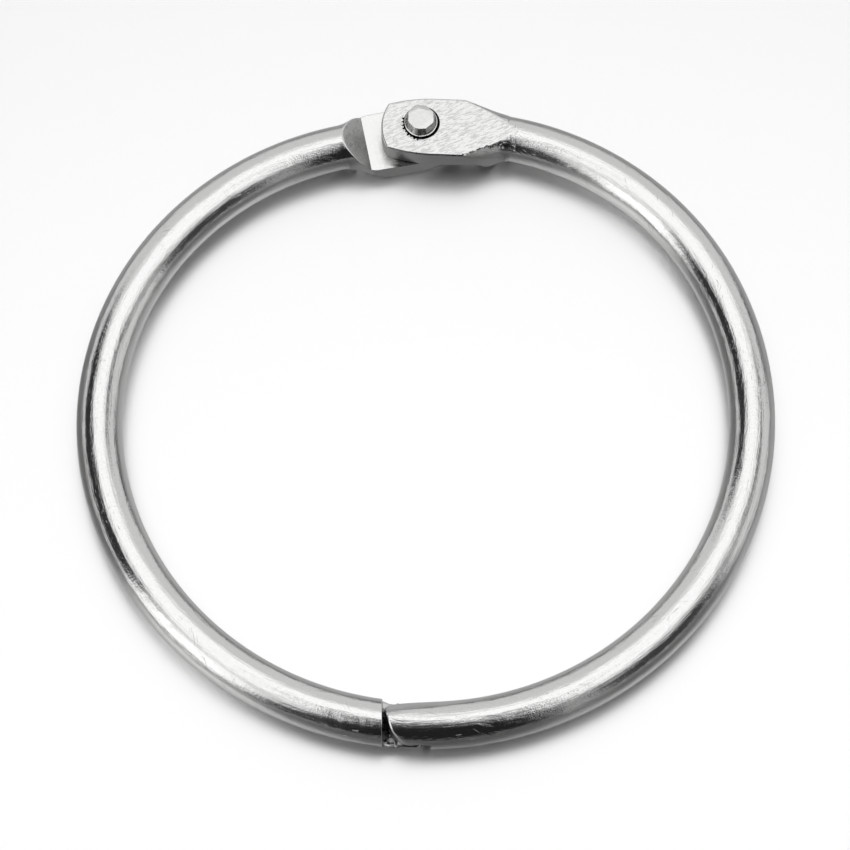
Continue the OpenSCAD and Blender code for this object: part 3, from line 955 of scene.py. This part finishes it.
def card(name, azimuth, elevation, strength, edge=4.0, distance=1.0, slant=(0.0, 0.0)):
    """A curved card round the object, with soft edges, between two azimuths and two elevations.

    All angles are in degrees. Towards its second azimuth its lower and upper edge rise by the two
    values of slant.
    """
    a0, a1 = azimuth
    e0, e1 = elevation
    across = max(int((a1 - a0) / 4), 2)
    up = max(int((e1 - e0) / 4), 2)
    verts, places = [], []
    for j in range(up + 1):
        for i in range(across + 1):
            a = math.radians(a0 + (a1 - a0) * i / across)
            low, high = e0 + slant[0] * i / across, e1 + slant[1] * i / across
            e = math.radians(low + (high - low) * j / up)
            way = Vector((math.cos(e) * math.cos(a), math.cos(e) * math.sin(a), math.sin(e)))
            verts.append(distance * way)
            places.append(((a1 - a0) * i / across, (e1 - e0) * j / up))
    width = across + 1
    faces = [(j * width + i, (j + 1) * width + i, (j + 1) * width + i + 1, j * width + i + 1)
             for j in range(up) for i in range(across)]
    mesh = bpy.data.meshes.new(name)
    mesh.from_pydata(verts, [], faces)
    layer = mesh.uv_layers.new(name="degrees")
    for loop in mesh.loops:
        layer.data[loop.index].uv = places[loop.vertex_index]
    obj = bpy.data.objects.new(name, mesh)
    bpy.context.scene.collection.objects.link(obj)
    obj.visible_camera = False

    n = Nodes(name)
    n.tree.nodes.remove(n.shader)
    uv = n.add("ShaderNodeSeparateXYZ")
    n.link(n.add("ShaderNodeUVMap", uv_map="degrees").outputs["UV"], uv.inputs[0])
    mask = None
    if a1 - a0 < 360:
        left = n.span(uv.outputs[0], 0, 2 * edge)
        right = n.span(uv.outputs[0], a1 - a0 - 2 * edge, a1 - a0, 1, 0)
        mask = n.math("MULTIPLY", left, right)
    low = n.span(uv.outputs[1], 0, 2 * edge)
    mask = n.math("MULTIPLY", mask, low) if mask else low
    if e1 < 90:
        mask = n.math("MULTIPLY", mask, n.span(uv.outputs[1], e1 - e0 - 2 * edge, e1 - e0, 1, 0))
    emit = n.add("ShaderNodeEmission")
    emit.inputs["Strength"].default_value = strength
    clear = n.add("ShaderNodeBsdfTransparent")
    mix = n.add("ShaderNodeMixShader")
    n.link(mask, mix.inputs[0])
    n.link(clear.outputs[0], mix.inputs[1])
    n.link(emit.outputs[0], mix.inputs[2])
    n.link(mix.outputs[0], n.tree.nodes["Material Output"].inputs["Surface"])
    mesh.materials.append(n.material)


def studio():
    """A pale room with cards where the photo's reflections call for them."""
    world = bpy.data.worlds.new("pale_room")
    world.use_nodes = True
    world.node_tree.nodes["Background"].inputs["Color"].default_value = (1, 1, 1, 1)
    world.node_tree.nodes["Background"].inputs["Strength"].default_value = ROOM
    bpy.context.scene.world = world

    card("overhead_softbox", (0, 360), (46, 90), 1.42, edge=10.0)
    card("flag_overhead", (-195, 20), (77, 90), 0.42, edge=3.0, distance=0.86)
    card("window", (-171, -129), (-6, 48), 1.55, edge=4.5, distance=0.95)
    card("flag_left", (134, 196), (21, 53), 0.04, edge=1.5, distance=0.9, slant=(-16, -4))
    card("flag_front_left", (-129, -106), (-1, 24), 0.07, edge=1.5, distance=0.9, slant=(0, 44))
    card("flag_low_left", (-136, -126), (-1, 8), 0.07, edge=1.5, distance=0.91, slant=(0, 4))
    card("flag_front", (-112, -59), (-1, 78), 0.02, edge=1.2, distance=0.88)
    card("flag_above_front", (-128, -46), (58, 88), 0.1, edge=4.0, distance=0.87)
    card("flag_front_right", (-62, -48), (-1, 52), 0.45, edge=1.2, distance=0.9)
    card("flag_right", (-54, -9), (-1, 43), 0.06, edge=3.5, distance=0.92)
    card("band_right", (-56, 14), (26, 50), 0.45, edge=4.0, distance=0.94)
    card("flag_high_right", (8, 40), (36, 50), 0.12, edge=1.5, distance=0.86, slant=(0, -3))
    card("flag_low_right", (23, 45), (-1, 10), 0.1, edge=1.5, distance=0.86)


def floor():
    """A pale, satin board: white from above, greyer at a low angle."""
    mesh = bpy.data.meshes.new("floor")
    corners = [(x * FLOOR_HALF, y * FLOOR_HALF, 0) for x, y in ((-1, -1), (1, -1), (1, 1), (-1, 1))]
    mesh.from_pydata(corners, [], [(0, 1, 2, 3)])
    obj = bpy.data.objects.new("floor", mesh)
    obj.location.z = FLOOR_Z
    bpy.context.scene.collection.objects.link(obj)
    n = Nodes("floor_board")
    n.shader.inputs["Metallic"].default_value = 0.9
    n.shader.inputs["Base Color"].default_value = (0.88, 0.88, 0.88, 1)
    n.shader.inputs["Specular Tint"].default_value = (0.15, 0.15, 0.15, 1)
    n.shader.inputs["Roughness"].default_value = 0.36
    mesh.materials.append(n.material)


def camera():
    """Looks down on the ring from the front, through a long lens."""
    data = bpy.data.cameras.new("camera")
    obj = bpy.data.objects.new("camera", data)
    bpy.context.scene.collection.objects.link(obj)
    rise = math.radians(CAMERA_ELEVATION)
    target = Vector((0, 0, MID_Z * MM))
    offset = Vector((0, -math.cos(rise), math.sin(rise))) * CAMERA_DISTANCE
    obj.location = target + offset
    obj.rotation_euler = (-offset).to_track_quat("-Z", "Y").to_euler()
    data.sensor_width = 36
    data.lens = CAMERA_LENS
    data.shift_x, data.shift_y = CAMERA_SHIFT
    data.clip_start = 0.01
    bpy.context.scene.camera = obj


# ---- the scene ----

camera()
studio()
floor()
bpy.context.scene.view_settings.view_transform = "Standard"

plating = (wire_plating(), lug_finish(), shaded_side_finish(), lap_finish(), torn_and_shaded_finish())
rivet_metal = rivet_finish()
right_form = Half(rivet_x=HINGE_X, mid_x=CLASP_X, bend_from=25.6, tighten=2.3, drop=0.35,
                  narrow_to=SPREAD_FROM, corner_r=8.0, nose_r=1.9)
left_form = Half(rivet_x=-HINGE_X, mid_x=-CLASP_X, bend_from=-12.8, tighten=1.65, drop=0.2,
                 narrow_to=SPREAD_FROM - 0.9, corner_r=1.5, nose_r=0.55)
right = half_ring("right_half_ring_wire", right_form, 1)
left = half_ring("left_half_ring_wire", left_form, -1)
pin = rivet("hinge_rivet_metal")
finish_faces(right.data, right_form, 1, plating)
finish_faces(left.data, left_form, -1, plating)
pin.data.materials.append(rivet_metal)

for piece, node, body, slot in ((right, "right_half_ring", "right_half", "plated_wire"),
                                (left, "left_half_ring", "left_half", "plated_wire"),
                                (pin, "hinge_rivet", "left_half", "plated_rivet")):
    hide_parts(node)
    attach(piece, body)
